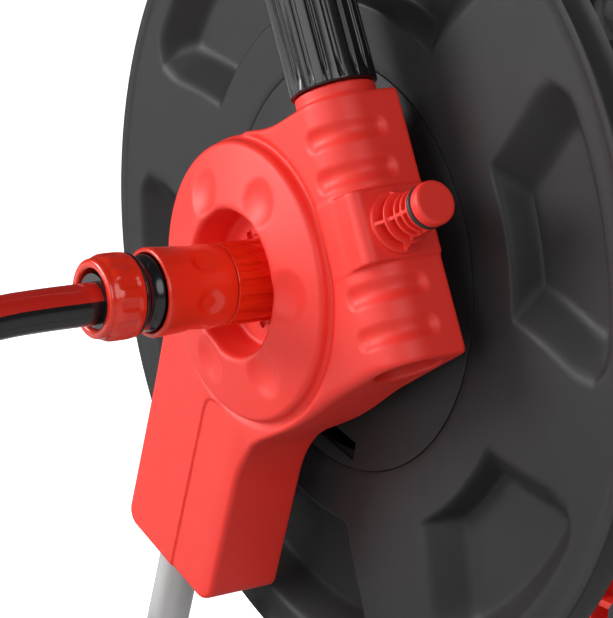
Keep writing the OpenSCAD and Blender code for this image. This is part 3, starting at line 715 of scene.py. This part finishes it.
# ---------------------------------------------------------------- drum flanges
FLANGE_R, FLANGE_N, PLATE = 178.0, -50.0, 3.0
POCKETS, FIRST_POCKET, POCKET_DEPTH = 6, math.radians(15), 12.0
POCKET_IN, POCKET_OUT, POCKET_KNEE, POCKET_SHOULDER = 107.0, 162.0, 143.0, 154.0
SIDE_WALL, INNER_WALL, OUTER_WALL = 14.0, 4.0, 13.0
CAP_R, CAP_T, BARREL_R = 83.0, 1.5, 80.0


def pocket_half(radius):
    """Half the angle that a pocket takes at this radius, in radians."""
    edges = [POCKET_IN, POCKET_KNEE, POCKET_SHOULDER, POCKET_OUT]
    return np.radians(np.interp(radius, edges, [15.5, 20.5, 20.5, 17.5]))


def soft_step(share, corner=0.12):
    """From 0 to 1 in a straight wall with rounded ends."""
    return smooth_min(smooth_max(share, 0, corner), 1, corner)


def flange_shape():
    half_columns = np.concatenate([[0, 0.16, 0.32, 0.42], np.linspace(0.50, 1.06, 15)])
    steps_in = np.concatenate([-half_columns[::-1], half_columns[1:]])
    outside = np.linspace(0.25, 1, 4)
    rows = np.concatenate([
        [CAP_R + 0.5, CAP_R + 1.0, 87, 93, 99, 103], np.linspace(POCKET_IN - 1.5, POCKET_IN + 6, 10),
        np.linspace(POCKET_IN + 9, POCKET_OUT - 18, 8), np.linspace(POCKET_OUT - 15, POCKET_OUT + 1.5, 13),
        [166, 169, 172.5, 173.5, 174.5, 176, 177.2, 177.8],
    ])
    front = [("front", r, 0.0) for r in rows]
    front[0] = ("front", CAP_R + 0.15, -0.4)
    rim = [(FLANGE_R, -0.3), (FLANGE_R, -6), (FLANGE_R, -11.6), (FLANGE_R - 0.4, -12),
           (FLANGE_R - PLATE + 0.4, -12), (FLANGE_R - PLATE, -11.6), (FLANGE_R - PLATE, -PLATE - 1)]
    hub = [(BARREL_R - 4, -PLATE), (BARREL_R - 4, -CAP_T), (CAP_R + 0.15, -CAP_T)]
    path = front + [("plain", *p) for p in rim]
    path += [("back", r, -PLATE) for r in rows[rows < FLANGE_R - PLATE][::-1]]
    path += [("plain", *p) for p in hub]
    points = []
    for kind, radius, along in path:
        half = pocket_half(radius)
        sector = np.pi / POCKETS
        beside = half * 1.06 + (sector - half * 1.06) * outside
        offsets = np.sort(np.concatenate([steps_in * half, beside, -beside[:-1]]))
        thick = PLATE if kind == "back" else 0.0
        side = ((half - np.abs(offsets)) * radius + thick) / SIDE_WALL
        end = min((radius - POCKET_IN + thick) / INNER_WALL, (POCKET_OUT - radius + thick) / OUTER_WALL)
        depth = soft_step(smooth_min(side, np.full_like(side, end), 0.35)) * POCKET_DEPTH
        if kind == "plain":
            depth = depth * 0
        lip = 0.7 * ramp(np.array(radius), 172.8, 174.2) if kind == "front" else 0.0
        turn = FIRST_POCKET + np.concatenate([offsets + 2 * sector * k for k in range(POCKETS)])
        heights = FLANGE_N + along + lip - np.tile(depth, POCKETS)
        points.append(np.stack([radius * np.cos(turn), radius * np.sin(turn), heights], axis=-1))
    return np.concatenate(points), ring_faces(len(points), len(points[0]), closed_rows=True)


def add_flanges():
    for name, side in (("left", INLET), ("right", CRANK)):
        make_piece(
            f"{name}_drum_flange", *flange_shape(), "drum_plastic", "drum", [f"{name}_flange"],
            side_matrix(side))


# ---------------------------------------------------------------- handle
COLLAR_R, COLLAR_LEN, COLLAR_CAP, COLLAR_RIBS = 17.0, 60.0, 8.0, 18
HANDLE_RISE, HANDLE_CORNER, TUBE_BOTTOM = 620.0, 60.0, 21.7
TUBE_X = SIDE_X / MM + TUBE_N
TUBE_WALL = 1.2
BASE_RISE, BASE_START, BASE_REACH, BASE_CORNER = 18, -118, 219, 60
LEG_AT = (-318, -317.4, -180, -50.6, -50)  # places along the leg, short steps at its ends


def on_handle_tube(side):
    """Along the handle tube, measured from the drum's axis."""
    c, s = math.cos(HANDLE_TILT), math.sin(HANDLE_TILT)
    turn = Matrix(((0, c, -s, TUBE_A * c), (0, s, c, TUBE_A * s), (1, 0, 0, TUBE_N), (0, 0, 0, 1)))
    return side_matrix(side) @ turn


def collar_shape():
    low = NECK_TOP + 0.3

    def ribbed(radius, along, turn):
        along = along - low
        fade = ramp(along, 1.0, 3.2) * (1 - ramp(along, COLLAR_LEN - 5, COLLAR_LEN - 2.5))
        groove = 1 - ramp(np.cos(COLLAR_RIBS * turn), -0.85, -0.2)
        return np.where(radius > 15, radius - 1.35 * groove * fade, radius)

    corners = [
        (13.6, low, 0.4), (COLLAR_R, low, 0.9), (COLLAR_R, low + COLLAR_LEN, 2.2),
        (TUBE_R + 0.35, low + COLLAR_LEN, 0.6), (TUBE_R + 0.35, low + COLLAR_LEN - COLLAR_CAP, 0.4),
        (13.6, low + COLLAR_LEN - COLLAR_CAP, 0.4),
    ]
    return turned(corners, 18 * COLLAR_RIBS, ribbed, longest=5)


def bent_tube(path, radius, wall, sides=40):
    """An open tube with a wall, along a path of points in millimetres."""
    path = np.array(path, float)
    along = np.gradient(path, axis=0)
    along /= np.linalg.norm(along, axis=1)[:, None]
    across = np.cross(along[0], (0.3, 0.5, 0.8))
    rings = []
    for point, direction in zip(path, along):
        across = across - direction * across.dot(direction)
        across /= np.linalg.norm(across)
        rings.append((point, across.copy(), np.cross(direction, across)))
    turn = np.linspace(0, 2 * np.pi, sides, endpoint=False)[:, None]
    rows = [p + radius * (np.cos(turn) * x + np.sin(turn) * y) for p, x, y in rings]
    inner = [p + (radius - wall) * (np.cos(turn) * x + np.sin(turn) * y) for p, x, y in rings[::-1]]
    points = np.concatenate(rows + inner)
    return points, ring_faces(2 * len(path), sides, closed_rows=True)


def u_path(half, start, reach, corner):
    """A U in the plane of x and y: up one leg, round two corners and down the other."""
    turn = np.linspace(0, np.pi / 2, 13)
    first = [(-half, start), (-half, start + 0.6), (-half, (start + reach) / 2)]
    first += [(-half + corner - corner * math.cos(t), reach - corner + corner * math.sin(t)) for t in turn]
    return first + [(0, reach)] + [(-x, y) for x, y in first[::-1]]


def add_tubes():
    lean, up = math.sin(HANDLE_TILT), math.cos(HANDLE_TILT)
    middle = Vector((MIDDLE.x, 0, 0)) / MM
    rise = MIDDLE.z / MM
    handle = [
        (middle.x + x, -TUBE_A * up + y * lean, rise + TUBE_A * lean + y * up)
        for x, y in u_path(TUBE_X, TUBE_BOTTOM, HANDLE_RISE, HANDLE_CORNER)
    ]
    metres = Matrix.Scale(MM, 4)
    make_piece(
        "handle_bow", *bent_tube(handle, TUBE_R, TUBE_WALL), "grey_tube", "handle", ["handle_tube"], metres)
    base = [
        (middle.x + x, -y, BASE_RISE)
        for x, y in u_path(TUBE_X, BASE_START, BASE_REACH, BASE_CORNER)
    ]
    make_piece("base_bow", *bent_tube(base, TUBE_R, TUBE_WALL), "grey_tube", "stand", ["base_tube"], metres)
    c, s = math.cos(LEG_TILT), math.sin(LEG_TILT)
    for name, side in (("left", INLET), ("right", CRANK)):
        leg = [(LEG_C * c + at * s, -LEG_C * s + at * c, TUBE_N) for at in LEG_AT]
        make_piece(
            f"{name}_leg", *bent_tube(leg, TUBE_R, TUBE_WALL), "grey_tube", "stand", [f"{name}_leg_tube"],
            side_matrix(side))


def add_handle_parts():
    for name, side in (("left", INLET), ("right", CRANK)):
        make_piece(
            f"{name}_lock_collar", *collar_shape(), "black_plastic", f"{name}_lock", [f"{name}_collar"],
            on_handle_tube(side))
    length, radius = 190.0, 14.0

    def soft(radius_, along, turn):
        return radius_ + np.where(radius_ > 12, 0.25 * np.sin(along / 9) * np.sin(2 * turn), 0)

    corners = [
        (9.1, -length / 2, 0.3), (radius, -length / 2, 3), (radius, length / 2, 3), (9.1, length / 2, 0.3),
    ]
    low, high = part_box("handle_grip")
    centre = (low + high) / 2
    place = Matrix.Translation(centre) @ Matrix(((0, 0, MM, 0), (MM, 0, 0, 0), (0, MM, 0, 0), (0, 0, 0, 1)))
    make_piece("foam_grip", *turned(corners, 64, soft, longest=4), "foam", "handle", ["handle_grip"], place)


# ---------------------------------------------------------------- wheels and crank
WHEEL_R, WHEEL_W, TYRE_T = 76.0, 34.0, 13.0
AXLE_U, AXLE_Z = -143.0, WHEEL_R - 340
CRANK_REACH, KNOB_N = 110, 28


def tyre_shape():
    tread_r = WHEEL_R - TYRE_T

    def blocks(radius, along, turn):
        centre = np.abs(along - WHEEL_W / 2)
        slant = turn * 36 + np.where(along > WHEEL_W / 2, 1.2, -1.2) * centre / 6
        lug = ramp(np.cos(slant), -0.75, -0.25)
        groove = ramp(centre, 1.2, 2.2)
        depth = 2.2 * (1 - lug * groove) * (1 - ramp(centre, 13.6, 15))
        return np.where(radius > WHEEL_R - 4.5, radius - depth, radius)

    corners = [
        (tread_r, 2.5, 0.8), (WHEEL_R - 6.5, 0.3, 2), (WHEEL_R, 4.5, 3), (WHEEL_R, WHEEL_W - 4.5, 3),
        (WHEEL_R - 6.5, WHEEL_W - 0.3, 2), (tread_r, WHEEL_W - 2.5, 0.8),
    ]
    return turned(corners, 432, blocks, longest=1.6)


def knob_shape():
    corners = [
        (5.1, 0, 0.3), (11, 0, 1.2), (12.6, 4, 3), (14, 24, 14), (12.6, 52, 18), (14, 76, 8),
        (11.5, 84, 5), (5.1, 84, 1), (5.1, 74, 1),
    ]

    def grip(radius, along, turn):
        fade = ramp(along, 8, 14) * (1 - ramp(along, 68, 74))
        return np.where(radius > 10, radius - 0.5 * fade * ramp(np.cos(12 * turn), 0.3, 0.95), radius)

    return turned(corners, 144, grip, longest=3)


def add_wheels_and_knob():
    wheel_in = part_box("left_tyre")[1].x
    inner = (MIDDLE.x - SIDE_X - wheel_in) / MM
    for name, side in (("left", INLET), ("right", CRANK)):
        place = side_matrix(side) @ Matrix.Translation((AXLE_U, AXLE_Z, inner))
        make_piece(
            f"{name}_tyre_ring", *tyre_shape(), "tyre_rubber", f"{name}_wheel", [f"{name}_tyre"], place)
    place = side_matrix(CRANK) @ Matrix.Translation((0, -CRANK_REACH, KNOB_N))
    make_piece("winding_knob", *knob_shape(), "black_plastic", "knob", ["crank_knob"], place)


# ---------------------------------------------------------------- the other CAD pieces
def softened(node, width):
    """A copy of a CAD node with its sharp edges rounded off."""
    source = frame["nodes"][node]
    body = source["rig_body"]
    mesh = source.data.copy()
    mesh.name = node + "_finished"
    shape = bmesh.new()
    shape.from_mesh(mesh)
    bmesh.ops.remove_doubles(shape, verts=shape.verts, dist=1e-6)
    bmesh.ops.dissolve_limit(shape, angle_limit=math.radians(1.0), verts=shape.verts, edges=shape.edges)
    sharp = [e for e in shape.edges if len(e.link_faces) == 2 and e.calc_face_angle(0) > math.radians(32)]
    bmesh.ops.bevel(
        shape, geom=sharp, offset=width * MM, segments=2, profile=0.6, affect="EDGES", clamp_overlap=True)
    shape.to_mesh(mesh)
    shape.free()
    mesh.materials.clear()
    mesh.materials.append(M[SLOT_OF[node]])
    mesh.shade_smooth()
    piece = bpy.data.objects.new(node + "_finished", mesh)
    bpy.context.scene.collection.objects.link(piece)
    mesh.set_sharp_from_angle(angle=math.radians(35))
    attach(piece, body)
    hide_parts(node)
    return piece


SOFTENED = {
    "left_foot": 1.5, "right_foot": 1.5, "left_wheel_bracket": 2.0, "right_wheel_bracket": 2.0,
    "left_wheel_rim": 0.8, "right_wheel_rim": 0.8, "left_axle_cap": 1.5, "right_axle_cap": 1.5,
    "crank_arm": 1.5, "crank_screw": 0.6, "left_drum_cap": 0.25, "right_drum_cap": 0.25, "axle": 0.8,
    "left_inner_cover": 0.4, "right_inner_cover": 0.4,
}


def finish_cad_pieces():
    for node, piece in frame["nodes"].items():
        slots = piece.data.materials
        slots.clear()
        slots.append(M[SLOT_OF[node]])
    for node, width in SOFTENED.items():
        softened(node, width)


# ---------------------------------------------------------------- floor and light
FLOOR_HALF = 30
SKY_GLOW = 0.06
LIGHTS = {  # place, size and power
    "key": ((-2.5, 1.9, 1.2), 1.5, 72), "side": ((-3.0, -0.3, 1.5), 3.0, 46),
    "fill": ((-0.8, -3.0, 1.9), 2.4, 37), "far side": ((2.9, 0.6, 1.7), 2.6, 34),
}
LIGHTS_AIM = Vector((0, 0, 0.35))


def add_floor():
    """A pale floor that shows white to the camera and reflects as pale grey."""
    mesh = bpy.data.meshes.new("floor")
    half = FLOOR_HALF
    corners = [(-half, -half, 0), (half, -half, 0), (half, half, 0), (-half, half, 0)]
    mesh.from_pydata(corners, [], [(0, 1, 2, 3)])
    m = Nodes("floor_paint")
    m.link(m.colours(m.noise(3, 2), (0.74, 0.74, 0.74), (0.78, 0.78, 0.78)), "Base Color")
    m.set(Roughness=0.9, Specular_IOR_Level=0.1)
    m.shader.inputs["Emission Color"].default_value = (1, 1, 1, 1)
    m.link(m.add("ShaderNodeLightPath").outputs["Is Camera Ray"], "Emission Strength")
    mesh.materials.append(m.material)
    floor = bpy.data.objects.new("floor", mesh)
    bpy.context.scene.collection.objects.link(floor)


def add_light(name, where, size, power):
    data = bpy.data.lights.new(name, "AREA")
    data.shape = "DISK"
    data.size = size
    data.energy = power
    light = bpy.data.objects.new(name, data)
    bpy.context.scene.collection.objects.link(light)
    light.location = where
    direction = LIGHTS_AIM - light.location
    light.rotation_euler = direction.to_track_quat("-Z", "Y").to_euler()


def add_light_and_sky():
    """Soft lights, and a sky that is faint as a light and white to the camera."""
    world = bpy.data.worlds.new("sky")
    bpy.context.scene.world = world
    world.use_nodes = True
    tree = world.node_tree
    background = tree.nodes["Background"].inputs
    background["Color"].default_value = (1, 1, 1, 1)
    seen = tree.nodes.new("ShaderNodeLightPath")
    strength = tree.nodes.new("ShaderNodeMath")
    strength.operation = "MAXIMUM"
    strength.inputs[1].default_value = SKY_GLOW
    tree.links.new(seen.outputs["Is Camera Ray"], strength.inputs[0])
    tree.links.new(strength.outputs[0], background["Strength"])
    for name, (where, size, power) in LIGHTS.items():
        add_light(name, where, size, power)
    bpy.context.scene.view_settings.view_transform = "Standard"


# ---------------------------------------------------------------- build
tap_pieces = add_connectors()
supply_hose()
add_brackets()
add_flanges()
add_tubes()
add_handle_parts()
add_wheels_and_knob()
finish_cad_pieces()
add_floor()
add_light_and_sky()

bpy.context.view_layer.update()
